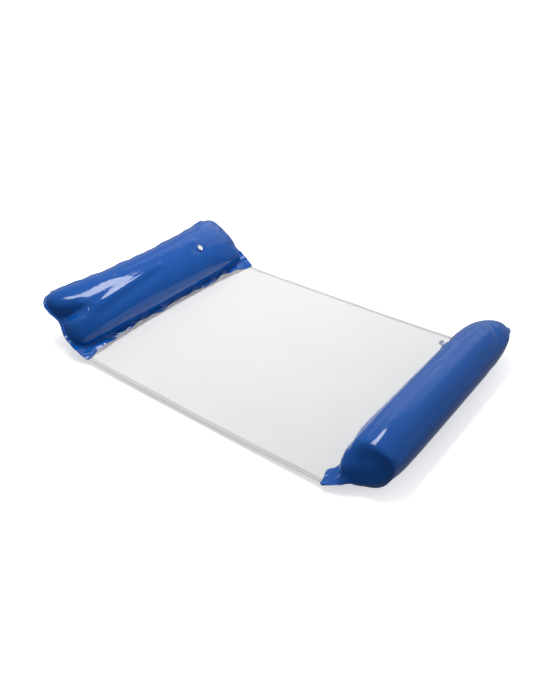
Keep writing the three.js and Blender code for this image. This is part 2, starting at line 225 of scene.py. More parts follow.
def evaluated_mesh(piece):
    """What the piece's modifiers make of it, as a new mesh."""
    depsgraph = bpy.context.evaluated_depsgraph_get()
    return bpy.data.meshes.new_from_object(piece.evaluated_get(depsgraph), depsgraph=depsgraph)


def modified(piece, kind, **settings):
    apply_settings(piece.modifiers.new(kind.lower(), kind), settings)
    mesh = evaluated_mesh(piece)
    piece.modifiers.clear()
    piece.data = mesh
    mesh.shade_smooth()
    mesh.set_sharp_from_angle(angle=math.radians(55))
    return piece


def thickened(piece, thickness, offset=-1.0):
    return modified(piece, "SOLIDIFY", thickness=thickness, offset=offset, use_even_offset=False)


def coordinates(mesh):
    return np.array([vertex.co for vertex in mesh.vertices])


def smoothstep(x):
    x = np.clip(x, 0, 1)
    return x * x * (3 - 2 * x)


def ramp(x, start):
    """0 up to the start, and smoothly up to 1 at 1."""
    return smoothstep((x - start) / (1 - start))


def positive_part(x, softness=1.2 * MM):
    """x above zero and nothing below it, with a soft bend between."""
    return (x + np.sqrt(x**2 + softness**2)) / 2


def finish_piece(piece, material, nodes):
    piece.data.materials.clear()
    piece.data.materials.append(material)
    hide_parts(*nodes)
    return piece


# ---- Inflated chambers ----

def chamber_axes(chamber):
    """The directions of u, y and n."""
    inward, tilt = chamber["inward"], chamber["tilt"]
    across = (inward * math.cos(tilt), 0, -math.sin(tilt))
    return np.array([across, (0, 1, 0), (inward * math.sin(tilt), 0, math.cos(tilt))])


def from_middle(place):
    """A place that is given from the middle of the panel and, for its height, from the floor."""
    return np.array([MIDDLE[0] + place[0], MIDDLE[1] + place[1], place[2]])


def waves(chamber, place, lengths, heights):
    """A sum of waves along a line, with fixed phases."""
    return sum(height * np.sin(2 * math.pi * place / length + 1.7 * k + chamber["seed"])
               for k, (length, height) in enumerate(zip(lengths, heights)))


def corner_depth(distance, corner):
    """How far a round corner draws the end weld in, at a distance from the side weld."""
    across, along = corner
    x = np.clip(1 - distance / across, 0, 1)
    return along * (1 - np.sqrt(1 - x**2))


def cut_places(chamber, cell):
    """The chamber's places across and along, from -1 to 1."""
    return [np.linspace(-1, 1, 2 * round(half / cell) + 1)
            for half in (chamber["cut_width"] / 2, chamber["cut_front_half"])]


def cut_grid(chamber, s, t, extra_front, end_cells, back_rows):
    """The flat cut's grid of u and y. The first back_rows rows and the outer end_cells columns are flange,
    and extra_front rows lie in front of the chamber."""
    half = chamber["cut_width"] / 2
    back = -half - WELD * np.arange(back_rows, 0, -1) / back_rows
    across = np.concatenate([back, s * half, half + WELD * np.arange(1, extra_front + 1)])
    share = np.clip((across + half) / (2 * half), 0, 1)
    full = chamber["cut_back_half"] * (1 - share) + chamber["cut_front_half"] * share
    full = full - corner_depth(share * 2 * half, chamber["back_corner"])
    welded = full - corner_depth((1 - share) * 2 * half, chamber["front_corner"])
    steps = np.arange(1, end_cells + 1) / end_cells
    end = welded[:, None] + (full + WELD - welded)[:, None] * steps
    y = np.concatenate([-end[:, ::-1], welded[:, None] * t[None, :], end], axis=1)
    u = np.repeat(across[:, None], y.shape[1], axis=1)
    return u, y


def simulated(chamber):
    """Both films as grids of (u, y, n) without their flanges, blown up flat by a cloth simulation."""
    s, t = cut_places(chamber, TEST_CELL)
    u, y = cut_grid(chamber, s, t, STIFFENER_ROWS, TEST_END_CELLS, 1)
    rows, columns = u.shape
    bottom_row, first, last = len(s), TEST_END_CELLS, TEST_END_CELLS + len(t) - 1
    inside = np.zeros((rows, columns), bool)
    inside[2:bottom_row, first + 1:last] = True
    across_distance = np.minimum(u - u[1], u[bottom_row] - u)
    along_distance = np.minimum(y - y[:, first:first + 1], y[:, last:last + 1] - y)
    edge_distance = np.minimum(across_distance, along_distance)
    bulge = START_BULGE * np.clip(edge_distance / START_REACH, 0, 1)
    jitter = np.random.default_rng(chamber["seed"]).normal(0, START_JITTER, (rows, columns))
    top_index = np.arange(rows * columns).reshape(rows, columns)
    bottom_index = top_index.copy()
    bottom_index[inside] = rows * columns + np.arange(inside.sum())
    vertices = np.vstack([
        np.stack([u, y, bulge + jitter], -1).reshape(-1, 3),
        np.stack([u, y, jitter - bulge], -1)[inside],
    ])
    in_chamber = np.zeros((rows - 1, columns - 1), bool)
    in_chamber[1:bottom_row, first:last] = True
    faces = np.vstack([quads(top_index).reshape(-1, 4), quads(bottom_index)[in_chamber][:, ::-1]])
    cloth = make_object("inflating", vertices, faces)
    pressed = cloth.vertex_groups.new(name="pressed")
    top_film = top_index[1:bottom_row + 1, first:last + 1]
    held_in = np.concatenate([top_film.ravel(), bottom_index[inside]])
    pressed.add([int(i) for i in held_in], 1.0, "REPLACE")
    points = run_cloth(cloth, chamber["stiffness"])
    bpy.data.objects.remove(cloth)
    chamber_part = (slice(1, bottom_row + 1), slice(first, last + 1))
    return points[top_index[chamber_part]], points[bottom_index[chamber_part]]


def run_cloth(cloth, compression_stiffness):
    settings = cloth.modifiers.new("cloth", "CLOTH").settings
    apply_settings(settings, PVC_CLOTH)
    settings.compression_stiffness = compression_stiffness
    settings.effector_weights.gravity = 0
    scene = bpy.context.scene
    for number in range(1, FRAMES + 1):
        scene.frame_set(number)
    mesh = evaluated_mesh(cloth)
    points = coordinates(mesh)
    bpy.data.meshes.remove(mesh)
    scene.frame_set(1)
    return points


def blurred(grid, reach):
    """A grid of points with everything that varies within the reach, in cells, taken out."""
    width = math.ceil(2 * reach)
    weights = np.exp(-0.5 * (np.arange(-width, width + 1) / reach) ** 2)
    weights /= weights.sum()
    for axis in (0, 1):
        margins = [(width, width) if k == axis else (0, 0) for k in range(3)]
        wide = np.pad(grid, margins, mode="reflect", reflect_type="odd")
        length = grid.shape[axis]
        grid = sum(w * np.take(wide, range(k, k + length), axis) for k, w in enumerate(weights))
    return grid


def resampled(grid, rows, columns):
    """The grid with more rows and columns, in straight lines between its points."""
    for axis, count in ((0, rows), (1, columns)):
        place = np.linspace(0, grid.shape[axis] - 1, count)
        low = np.minimum(place.astype(int), grid.shape[axis] - 2)
        part = (place - low).reshape((-1, 1, 1) if axis == 0 else (1, -1, 1))
        grid = np.take(grid, low, axis) * (1 - part) + np.take(grid, low + 1, axis) * part
    return grid


def crumpled(chamber, films, s, t):
    """Adds the creases of the simulated films to the chamber's films, but not at their welds."""
    inset = np.minimum.outer(1 - np.abs(s), (1 - np.abs(t)) * len(t) / len(s)) * len(s) / 2
    fade = smoothstep(inset / chamber["crease_inset"])[..., None]
    for film, blown in zip(films, simulated(chamber)):
        creases = resampled(blown - blurred(blown, CREASE_REACH), len(s), len(t))
        film[BACK_ROWS:, END_CELLS:-END_CELLS] += chamber["crumple"] * fade * creases
    return films


def blown_up(chamber, s, t):
    """The chamber's own shape: both films as grids of (u, y, n), with the flanges at the back and at both
    ends. They bulge between their welds, which draws the cut in."""
    u, y = cut_grid(chamber, s, t, 0, END_CELLS, BACK_ROWS)
    half, length = chamber["half_width"], chamber["half_length"]
    y = y * 2 * length / (chamber["cut_front_half"] + chamber["cut_back_half"])
    places = np.concatenate([np.full(BACK_ROWS, -1.0), s])[:, None]
    for end, middle, depth, _ in chamber["notches"]:
        at_notch = np.exp(-((places - middle) / NOTCH_WIDTH) ** 2) * ramp(end * y / length, NOTCH_START)
        y = y - end * depth * at_notch
    back = -half + chamber["back_bow"] * (1 - np.clip(y / length, -1, 1) ** 2)
    u = back + (places + 1) / 2 * (half - back)
    flat = np.zeros(END_CELLS)
    bulge = np.sqrt(np.clip(1 - places**2, 0, 1)) * np.concatenate(
        [flat, np.sqrt(np.clip(1 - np.abs(t) ** chamber["end_power"], 0, 1)), flat])
    for end, middle, _, pinch in chamber["notches"]:
        at_pinch = np.exp(-((places - middle) / PINCH_WIDTH) ** 2) * ramp(end * y / length, END_START)
        bulge = bulge * (1 - pinch * at_pinch)
    y, drop = near_end(chamber, places, y)
    upper_rise, lower_rise = chamber["rises"]
    return [np.stack([u, y, rise * bulge - drop], -1) for rise in (upper_rise, -lower_rise)]


def near_end(chamber, places, y):
    """Draws the near end's weld in, which changes y, and lowers it. Its flange is turned down."""
    at_end = ramp(-y / chamber["half_length"], END_START) * smoothstep((0.9 - places) / 1.2)
    to_back = smoothstep(-places - 0.1)
    drop = chamber["end_drop"] * at_end * (1 - 0.5 * to_back)
    y = y + chamber["end_tuck"] * at_end * (1 + 0.5 * to_back)
    reach = y[:, END_CELLS:END_CELLS + 1] - y[:, :END_CELLS]
    y[:, :END_CELLS] += reach * (1 - math.cos(chamber["end_fold"]))
    drop[:, :END_CELLS] += reach * math.sin(chamber["end_fold"])
    return y, drop


def add_crease(film, side, start, end, depth, width):
    """Presses a straight crease into a film, deepest in its middle."""
    line = np.subtract(end, start)
    away = film[..., :2] - start
    along = np.clip(away @ line / (line @ line), 0, 1)
    distance = np.linalg.norm(away - along[..., None] * line, axis=-1)
    taper = np.sqrt(np.clip(4 * along * (1 - along), 0, 1)) * 0.6 + 0.4
    inside = np.clip(np.abs(film[..., 2]) / (2 * depth if depth > 0 else width), 0, 1)
    film[..., 2] -= side * depth * taper * inside * np.exp(-(distance / width) ** 2)


def add_facet(film, corners):
    """Flattens what stands out beyond the plane through three corners."""
    corners = np.array(corners)
    normal = np.cross(corners[1] - corners[0], corners[2] - corners[0])
    normal *= np.sign(normal[2]) / np.linalg.norm(normal)
    pressed = positive_part((film - corners[0]) @ normal)
    near = smoothstep((FACET_REACH - np.linalg.norm(film - corners.mean(0), axis=-1)) / FACET_FADE)
    film -= (FACET_STRENGTH * near * pressed)[..., None] * normal


def evened(grid):
    """Takes the smallest facets out of a film, leaving its edges."""
    around = (grid[:-2, 1:-1] + grid[2:, 1:-1] + grid[1:-1, :-2] + grid[1:-1, 2:]) / 4
    grid = grid.copy()
    grid[1:-1, 1:-1] += (around - grid[1:-1, 1:-1]) / 2
    return grid


def fold_back_flange(chamber, film, side):
    """Turns the narrow flange at the back down behind the chamber and gives each film its own layer."""
    weld = film[BACK_ROWS]
    y = weld[:, 1]
    angle = chamber["back_fold"] + chamber["back_wave"] * waves(chamber, y, *BACK_WAVES)
    layer = side * (BACK_GAP + FILM)
    for row in range(BACK_ROWS):
        reach = WELD * (1 - row / BACK_ROWS)
        film[row, :, 0] = weld[:, 0] - reach * np.cos(angle) - layer * np.sin(angle)
        film[row, :, 2] = -reach * np.sin(angle) + layer * np.cos(angle)
    chamber_rows = film.shape[0] - BACK_ROWS
    gap = np.interp(np.arange(chamber_rows), [0, chamber_rows - 1], [BACK_GAP, FRONT_GAP])
    film[BACK_ROWS:, :, 2] += side * (gap + FILM)[:, None]


def placed(chamber, film):
    return from_middle(chamber["centre"]) + film @ chamber_axes(chamber)


def seam_point(chamber, t):
    """Where a mesh strip meets the panel. t runs from -1 to 1 across the float."""
    t = np.asarray(t, float)
    x = MIDDLE[0] - chamber["inward"] * (PANEL_LENGTH / 2 + chamber["seam_bow"] * (1 - t**2))
    return np.stack([x, MIDDLE[1] + t * PANEL_WIDTH / 2, np.full_like(t, MIDDLE[2])], -1)


def near_corner(t):
    """From 0 along most of a seam to 1 at its ends."""
    return ramp(np.abs(t), CORNER_START)


def flange_rows(chamber, weld_line, t, shares, side=0):
    """Rows of the wide flange in front of the chamber. A share of 1 is the seam, and beyond it the flange
    lies on the panel. It ripples, and at the corners the two films crumple away from each other."""
    seam = seam_point(chamber, t * chamber["tab_spread"])
    y = seam[:, 1]
    ripple = waves(chamber, y, *FLANGE_WAVES)
    crumple = waves(chamber, y, *CORNER_WAVES) * near_corner(t)
    rows = []
    for share in shares:
        share = np.broadcast_to(share, t.shape)
        on_way = np.minimum(share, 1)
        row = weld_line * (1 - on_way)[:, None] + seam * on_way[:, None]
        rise = np.sin(math.pi * np.clip(on_way, 0, 0.75)) * (1 - near_corner(t)) * ripple
        rise = rise + side * np.sin(math.pi * np.clip(share / 1.2, 0, 1)) * np.abs(crumple)
        row = row + rise[:, None] * chamber_axes(chamber)[2]
        row[:, 0] += (share - on_way) * chamber["inward"] * TAB_OVERLAP
        row[:, 2] += (share > 1) * FABRIC * 2
        rows.append(row)
    return np.stack(rows)


def with_tabs(chamber, points, corners):
    """Lays the flat corner tabs out from the chamber's round front corners to the ends of the seam."""
    rows, columns = points.shape[:2]
    s = np.linspace(-1, 1, rows - BACK_ROWS)
    start = chamber["tab_start"]
    share = np.clip((s - start) / (1 + TAB_REACH - start), 0, 1)
    start_row = BACK_ROWS + int(np.argmax(s >= start))
    near = (range(END_CELLS - 1, -1, -1), END_CELLS, corners[0])
    far = (range(columns - END_CELLS, columns), columns - 1 - END_CELLS, corners[1])
    for tab_columns, weld_column, corner in (near, far):
        outer_start = points[start_row, tab_columns[-1]].copy()
        for row in range(start_row, rows):
            part = share[row - BACK_ROWS]
            outer = outer_start + (corner - outer_start) * part
            outer[1] += math.copysign(TAB_BULGE, corner[1]) * math.sin(math.pi * part)
            weld = points[row, weld_column]
            crumple = waves(chamber, row * CELL, *TAB_WAVES)
            for step, column in enumerate(tab_columns, 1):
                out = step / END_CELLS
                rise = crumple * math.sin(math.pi * out * 0.8) * np.array([0, 0, 1])
                points[row, column] = weld + (outer - weld) * out + rise
    return points


def film_edge(chamber, t):
    """How far the films reach over the front flange, as a share; they widen to the tabs at its ends."""
    edge = chamber["film_cover"] + waves(chamber, t * PANEL_WIDTH / 2, *EDGE_WAVES)
    overlap = chamber["corner_overlap"] * np.exp(-((np.abs(t) - TAB_MIDDLE) / TAB_SHARE) ** 2)
    return edge + (1 - edge) * ramp(np.abs(t), TAB_START) + overlap


def above_floor(points):
    points[..., 2] = FLOOR_GAP + positive_part(points[..., 2] - FLOOR_GAP)
    return points


def round_valve(points, valve):
    """How far points lie above the film at the valve, and how far from the valve's axis."""
    origin, axes = valve
    uphill, sideways, height = np.moveaxis((points - origin) @ axes.T, -1, 0)
    return height, np.hypot(uphill, sideways)


def seated(points, valve):
    """Pulls the film flat round the valve."""
    height, radius = round_valve(points, valve)
    pull = smoothstep((SEAT_REACH - radius) / SEAT_FADE) * (np.abs(height) < SEAT_HEIGHT)
    outwards = valve[1][2]
    return points - (pull * height)[..., None] * outwards


def chamber_grids(chamber):
    """The upper and the lower film in the float's own axes, and the front weld's places along the seam."""
    s, t = cut_places(chamber, CELL)
    films = blown_up(chamber, s, t)
    films = crumpled(chamber, films, s, t)
    for side, *crease in chamber["creases"]:
        add_crease(films[side < 0], side, *crease)
    for side, *corners in chamber["facets"]:
        add_facet(films[side < 0], corners)
    weld_y = films[0][-1, :, 1]
    weld_places = weld_y / np.where(weld_y < 0, -weld_y[0], weld_y[-1])
    corners = seam_point(chamber, np.array([-1.0, 1.0]) * chamber["tab_spread"])
    grids = []
    for film, side in zip(films, (1, -1)):
        film = evened(film)
        fold_back_flange(chamber, film, side)
        points = with_tabs(chamber, placed(chamber, film), corners)
        edge = film_edge(chamber, weld_places)
        edge = edge if side > 0 else np.minimum(edge, LOWER_EDGE)
        shares = [edge * k / FLANGE_ROWS for k in range(1, FLANGE_ROWS + 1)]
        layer = side * (FRONT_GAP + FILM) * chamber_axes(chamber)[2]
        flange = flange_rows(chamber, points[-1] - layer, weld_places, shares, side) + layer
        points = np.concatenate([points, flange])
        if side > 0:
            points = seated(points, valve_frame(chamber))
        grids.append(above_floor(points))
    return grids[0], grids[1], weld_places


def cut_valve_hole(film, valve):
    mesh = bmesh.new()
    mesh.from_mesh(film.data)
    faces = list(mesh.faces)
    centres = np.array([face.calc_center_median() for face in faces])
    height, radius = round_valve(centres, valve)
    in_hole = (np.abs(height) < 0.01) & (radius < VALVE_SLEEVE_R + 2 * MM)
    inside = [face for face, hit in zip(faces, in_hole) if hit]
    bmesh.ops.delete(mesh, geom=inside, context="FACES")
    mesh.to_mesh(film.data)
    mesh.free()


def blend_to_panel(piece):
    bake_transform(piece)


def make_chamber(chamber, material):
    """Both films. Returns the line of the front weld and its places along the seam."""
    name = chamber["name"]
    upper, lower, weld_places = chamber_grids(chamber)
    mirrored = chamber["inward"] < 0
    for side, grid, flip in (("upper", upper, mirrored), ("lower", lower, not mirrored)):
        film = grid_object(f"{name}_{side}_film_inflated", grid, flip)
        film = modified(film, "SUBSURF", levels=1, render_levels=1)
        if side == "upper":
            cut_valve_hole(film, valve_frame(chamber))
        film = thickened(film, FILM)
        finish_piece(film, material, [f"{name}_{side}_film"])
        blend_to_panel(film)
    return (upper[-1 - FLANGE_ROWS] + lower[-1 - FLANGE_ROWS]) / 2, weld_places


def make_mesh_strip(chamber, weld_line, weld_places, material):
    """The open mesh between the front weld and the panel, as a net of threads."""
    name = chamber["name"]
    t = np.linspace(-0.995, 0.995, round(PANEL_WIDTH / NET_CELL))
    line = np.stack([np.interp(t, weld_places, weld_line[:, k]) for k in range(3)], -1)
    start = chamber["film_cover"] - NET_TUCK
    width = (1 - start) * np.linalg.norm(seam_point(chamber, t) - line, axis=1).mean()
    shares = np.linspace(start, 1, round(width / NET_CELL) + 1)
    grid = flange_rows(chamber, line, t, shares)
    net = grid_object(f"{name}_mesh_strip_net", grid, chamber["inward"] < 0)
    net = modified(net, "WIREFRAME", thickness=NET_THREAD, use_even_offset=False)
    finish_piece(net, material, [f"{name}_mesh_strip"])
    blend_to_panel(net)


# ---- Panel, hems and stitching ----

PANEL_SAG = 0.0065
# Each faint wave: its height, its radians to a metre along and across the panel, and its phase.
PANEL_WAVES = ((0.0006, 11, 7, 0), (0.00042, -9, 23, 1), (0.0003, 31, 13, 2))
RUCK_HEIGHT = 0.00035  # small folds at the seams
HEM_RISES = ((1.0, 0.0001), (0.8, -0.00005), (0.5, 0.00015), (0.2, 0.0001))  # share of its width, rise
HEM_POINTS = 41  # along each stretch of a hem
HEM_PUCKER, PUCKER_LENGTH = 0.00018, 0.0019  # its length is that of one radian
# Stretches of the panel: name, two ends (None is a seam), the two bodies that it joins, where it bends
# between them, and the CAD's halves that it covers.
FOLD_REACH = 0.07
BAND_SPAN = 0.05  # a band at a seam, for its number of grid cells
HEAD_CUT = -0.325
FOOT_CUT = 0.380
PANEL_ZONES = (
    ("head_band", None, HEAD_CUT, ("headrest", "panel_head"), HEADREST["blend_x"], ("head",)),
    ("middle", HEAD_CUT, FOOT_CUT, ("panel_head", "panel_foot"),
     (MIDDLE[0] - FOLD_REACH, MIDDLE[0] + FOLD_REACH), ("head", "foot")),
    ("foot_band", FOOT_CUT, None, ("footrest", "panel_foot"), FOOTREST["blend_x"], ("foot",)),
)


def panel_points(x, t):
    """The panel's middle surface at x, for t from -1 to 1 across. It sags and lies in faint waves."""
    head, foot = seam_point(HEADREST, t)[..., 0], seam_point(FOOTREST, t)[..., 0]
    k = np.clip((x - head) / (foot - head), 0, 1)
    free = np.clip(4 * k * (1 - k), 0, 1)
    y = t * PANEL_WIDTH / 2
    sag = PANEL_SAG * free**0.7 * (0.6 + 0.4 * (1 - t**2))
    wave = sum(height * np.sin(a * x + b * y + phase) for height, a, b, phase in PANEL_WAVES)
    ruck = RUCK_HEIGHT * np.sin(95 * y + 6 * np.sin(9 * x)) * (1 - free) ** 2
    z = MIDDLE[2] - sag + wave * free + ruck
    return np.stack([x, MIDDLE[1] + y, z], -1)


def zone_x(start, end, t, count):
    """A grid of x between a zone's two ends, which follow the bowed seams where they are seams."""
    low = seam_point(HEADREST, t)[:, 0] if start is None else np.full(len(t), start)
    high = seam_point(FOOTREST, t)[:, 0] if end is None else np.full(len(t), end)
    k = np.linspace(0, 1, count)[:, None]
    return low * (1 - k) + high * k


def zone_sheet(name, start, end, material, halves):
    t = np.linspace(-1, 1, round(PANEL_WIDTH / FABRIC_CELL)) * (1 - HEM_LAYER * 2 / PANEL_WIDTH)
    span = BAND_SPAN if None in (start, end) else end - start
    x = zone_x(start, end, t, round(span / FABRIC_CELL) + 2)
    points = panel_points(x, np.broadcast_to(t, x.shape))
    sheet = grid_object(f"panel_{name}", points, flip=True)
    sheet = thickened(sheet, FABRIC, offset=0.0)
    return finish_piece(sheet, material, [f"panel_{half}_half" for half in halves])


def hem_profile():
    """The folded binding's section round the panel's edge: distance out from the edge, and height."""
    face = FABRIC / 2 + 0.15 * MM
    top = [(-HEM_WIDTH * share, face + rise) for share, rise in HEM_RISES] + [(-HEM_LAYER * 2, face)]
    turn = [(-HEM_LAYER, face * 0.7), (0, 0), (-HEM_LAYER, -face * 0.7)]
    return top + turn + [(distance, -height) for distance, height in reversed(top)]


def zone_hem(name, start, end, side, edge_name, material, halves):
    """The hem binding of one long edge. Its stitching puckers it slightly."""
    x = zone_x(start, end, np.array([side]), HEM_POINTS)[:, 0]
    edge = panel_points(x, np.full_like(x, side))
    rows = []
    for distance, height in hem_profile():
        pucker = math.copysign(HEM_PUCKER, height) * np.sin(x / PUCKER_LENGTH) * (distance < -2 * MM)
        row = panel_points(x, side * (1 + 2 * distance / PANEL_WIDTH) * np.ones_like(x))
        row[:, 1] = edge[:, 1] + side * distance
        row[:, 2] += height + pucker
        rows.append(row)
    hem = grid_object(f"{edge_name}_hem_{name}", np.stack(rows), flip=side > 0)
    hem = thickened(hem, HEM_LAYER, offset=1.0)
    covered = [f"{edge_name}_hem_{half}_half" for half in halves]
    return finish_piece(hem, material, covered)


STITCH_LENGTH = 0.0036
STITCH_PITCH = 0.0045
STITCH_R = 0.00035
STITCH_SIDES = 6
STITCH_RINGS = (-1.0, -0.8, 0.0, 0.8, 1.0)  # along a stitch, as shares of half its length
STITCH_RADII = (0.35 * STITCH_R, STITCH_R, STITCH_R, STITCH_R, 0.35 * STITCH_R)
STITCH_FLATNESS = 0.8


def stitch(start, middle, end, first):
    """One stitch's rings of points, and its faces. first is the number of its first point."""
    along = (end - start) / np.linalg.norm(end - start)
    sideways = np.cross([0, 0, 1], along)
    upwards = np.cross(along, sideways)
    vertices = []
    for ring, radius in zip(STITCH_RINGS, STITCH_RADII):
        for angle in np.arange(STITCH_SIDES) * 2 * math.pi / STITCH_SIDES:
            round_part = sideways * math.cos(angle) + upwards * math.sin(angle) * STITCH_FLATNESS
            vertices.append(middle + along * ring * STITCH_LENGTH / 2 + round_part * radius)
    rings = first + np.arange(len(vertices)).reshape(-1, STITCH_SIDES)
    faces = [corners for ring, following in zip(rings, rings[1:])
             for corners in zip(ring, np.roll(ring, -1), np.roll(following, -1), following)]
    faces += [rings[0][::-1], rings[-1]]
    return vertices, faces


def stitch_row(name, line):
    """Separate stitches along a line of points, each a small rounded length of thread."""
    line = np.asarray(line)
    steps = np.linalg.norm(np.diff(line, axis=0), axis=1)
    length = np.concatenate([[0], np.cumsum(steps)])
    vertices, faces = [], []
    for centre in np.arange(STITCH_PITCH / 2, length[-1], STITCH_PITCH):
        places = centre + np.array([-0.5, 0.0, 0.5]) * STITCH_LENGTH
        points = np.stack([np.interp(places, length, line[:, k]) for k in range(3)], -1)
        new_vertices, new_faces = stitch(*points, len(vertices))
        vertices += new_vertices
        faces += new_faces
    return make_object(name, vertices, faces)


def zone_hem_stitches(name, start, end, side, edge_name, material, halves):
    t = side * (1 - 2 * (HEM_WIDTH - HEM_THREAD_INSET) / PANEL_WIDTH)
    x = zone_x(start, end, np.array([t]), 200)[:, 0]
    line = panel_points(x, np.full_like(x, t))
    line[:, 2] += FABRIC / 2 + HEM_LAYER + 0.3 * MM
    row = stitch_row(f"{edge_name}_hem_stitches_{name}", line)
    covered = [f"{edge_name}_hem_thread_{half}_half" for half in halves]
    return finish_piece(row, material, covered)


def seam_stitches(chamber, material):
    """The lockstitched row that holds a mesh strip to the panel."""
    end = chamber["panel"].split("_")[1]
    t = np.linspace(-1, 1, 300) * (1 - 2 * (HEM_WIDTH + 2 * MM) / PANEL_WIDTH)
    x = seam_point(chamber, t)[:, 0] + chamber["inward"] * SEAM_THREAD_INSET
    line = panel_points(x, t)
    line[:, 2] += FABRIC / 2 + 0.1 * MM
    row = stitch_row(f"{end}_seam_stitches", line)
    finish_piece(row, material, [f"{end}_seam_thread"])
    blend_to_panel(row)


def make_panel(fabric, binding, thread):
    for name, start, end, bodies, bend, halves in PANEL_ZONES:
        sheet = zone_sheet(name, start, end, fabric, halves)
        pieces = [sheet]
        for side, edge_name in ((-1, "near"), (1, "far")):
            pieces.append(zone_hem(name, start, end, side, edge_name, binding, halves))
            pieces.append(zone_hem_stitches(name, start, end, side, edge_name, thread, halves))
        for piece in pieces:
            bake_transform(piece)
    for chamber in (HEADREST, FOOTREST):
        seam_stitches(chamber, thread)


# ---- Valves ----

def valve_frame(chamber):
    """The valve's place on the film, and its axes from the frame's joints: uphill, sideways, outwards."""
    name = chamber["name"]
    outwards = np.array(JOINTS[f"{name}_valve_push"]["axis"])
    hinge = JOINTS[f"{name}_cap_swing"]
    uphill = np.cross(np.array(hinge["axis"]), outwards)
    uphill *= np.sign(uphill[2]) / np.linalg.norm(uphill)
    height = STEM_TOP + chamber["valve_out"] + HINGE_HEIGHT
    origin = np.array(hinge["pos_m"]) - HINGE_REACH * uphill - height * outwards
    return origin, np.array([uphill, np.cross(outwards, uphill), outwards])


TURN_STEPS = 48
ROUNDING_STEPS = 3


def rounded(outline, radius=0.22 * MM):
    """A closed outline with each corner rounded, except those on the axis."""
    points = []
    outline = [np.array(p, float) for p in outline]
    for before, corner, after in zip(outline[-1:] + outline[:-1], outline, outline[1:] + outline[:1]):
        if corner[0] < 1e-7:
            points.append(corner)
            continue
        lengths = [np.linalg.norm(other - corner) for other in (before, after)]
        arms = [(other - corner) / length for other, length in zip((before, after), lengths)]
        reach = min(radius, *(0.45 * length for length in lengths))
        first, last = (corner + arm * reach for arm in arms)
        for part in np.arange(ROUNDING_STEPS + 1) / ROUNDING_STEPS:
            points.append(first * (1 - part)**2 + corner * 2 * part * (1 - part) + last * part**2)
    return points


def in_valve(valve, points):
    origin, axes = valve
    return origin + np.array(points) @ axes


def tidied(piece):
    """Merges the points that lie on each other and turns every face outwards."""
    mesh = bmesh.new()
    mesh.from_mesh(piece.data)
    bmesh.ops.remove_doubles(mesh, verts=mesh.verts, dist=1e-6)
    bmesh.ops.dissolve_degenerate(mesh, edges=mesh.edges, dist=1e-7)
    bmesh.ops.recalc_face_normals(mesh, faces=mesh.faces)
    mesh.to_mesh(piece.data)
    mesh.free()
    piece.data.set_sharp_from_angle(angle=math.radians(50))
    return piece


def turned(name, valve, outline):
    """A body turned about the valve's axis from a closed outline of (radius, height) points."""
    outline = np.array(rounded(outline))
    angles = np.arange(TURN_STEPS) * 2 * math.pi / TURN_STEPS
    points = [(r * math.cos(a), r * math.sin(a), h) for a in angles for r, h in outline]
    index = np.pad(np.arange(len(points)).reshape(TURN_STEPS, -1), ((0, 1), (0, 1)), mode="wrap")
    return tidied(make_object(name, in_valve(valve, points), quads(index).reshape(-1, 4)))


def strip(name, valve, outline, width):
    """A flat bent strip: an outline in the plane of uphill and outwards, with a width sideways."""
    outline = rounded(outline, 0.15 * MM)
    count = len(outline)
    points = [(p[0], y, p[1]) for y in (-width / 2, width / 2) for p in outline]
    faces = [(k, (k + 1) % count, count + (k + 1) % count, count + k) for k in range(count)]
    faces += [tuple(range(count)), tuple(range(2 * count - 1, count - 1, -1))]
    return tidied(make_object(name, in_valve(valve, points), faces))


def joined(pieces):
    mesh = bmesh.new()
    for piece in pieces:
        mesh.from_mesh(piece.data)
    mesh.to_mesh(pieces[0].data)
    mesh.free()
    for piece in pieces[1:]:
        bpy.data.objects.remove(piece)
    pieces[0].data.set_sharp_from_angle(angle=math.radians(50))
    return pieces[0]


def valve_base(name, valve):
    """The flange welded to the film, with a raised ring, and the sleeve that holds the stem."""
    bore = STEM_R + VALVE_CLEARANCE
    rim, top = VALVE_FLANGE_R, VALVE_FLANGE_TOP
    return turned(name, valve, [
        (bore, -VALVE_SLEEVE_DEPTH), (VALVE_SLEEVE_R, -VALVE_SLEEVE_DEPTH), (VALVE_SLEEVE_R, 0.05 * MM),
        (rim, 0.05 * MM), (rim, 0.45 * top), (0.90 * rim, 0.55 * top), (0.86 * rim, 0.85 * top),
        (0.76 * rim, 0.85 * top), (0.72 * rim, 0.55 * top), (0.64 * rim, 0.6 * top), (0.60 * rim, top),
        (bore, top),
    ])


def valve_stem(name, valve, top):
    """A tube with two beads that grip the sleeve, and a lip round its mouth."""
    bottom = top - STEM_LENGTH
    bead = STEM_R + 0.15 * MM
    outline = [(STEM_BORE_R, bottom), (STEM_R - 0.2 * MM, bottom), (STEM_R, bottom + 0.4 * MM)]
    for height in (bottom + 3 * MM, bottom + 12 * MM):
        outline += [(STEM_R, height), (bead, height + 0.4 * MM), (STEM_R, height + 0.8 * MM)]
    lip = STEM_R + 0.5 * MM
    mouth = top - 0.1 * MM
    outline += [(STEM_R, top - 0.9 * MM), (lip, top - 0.7 * MM), (lip, mouth), (STEM_BORE_R, mouth)]
    return turned(name, valve, outline)


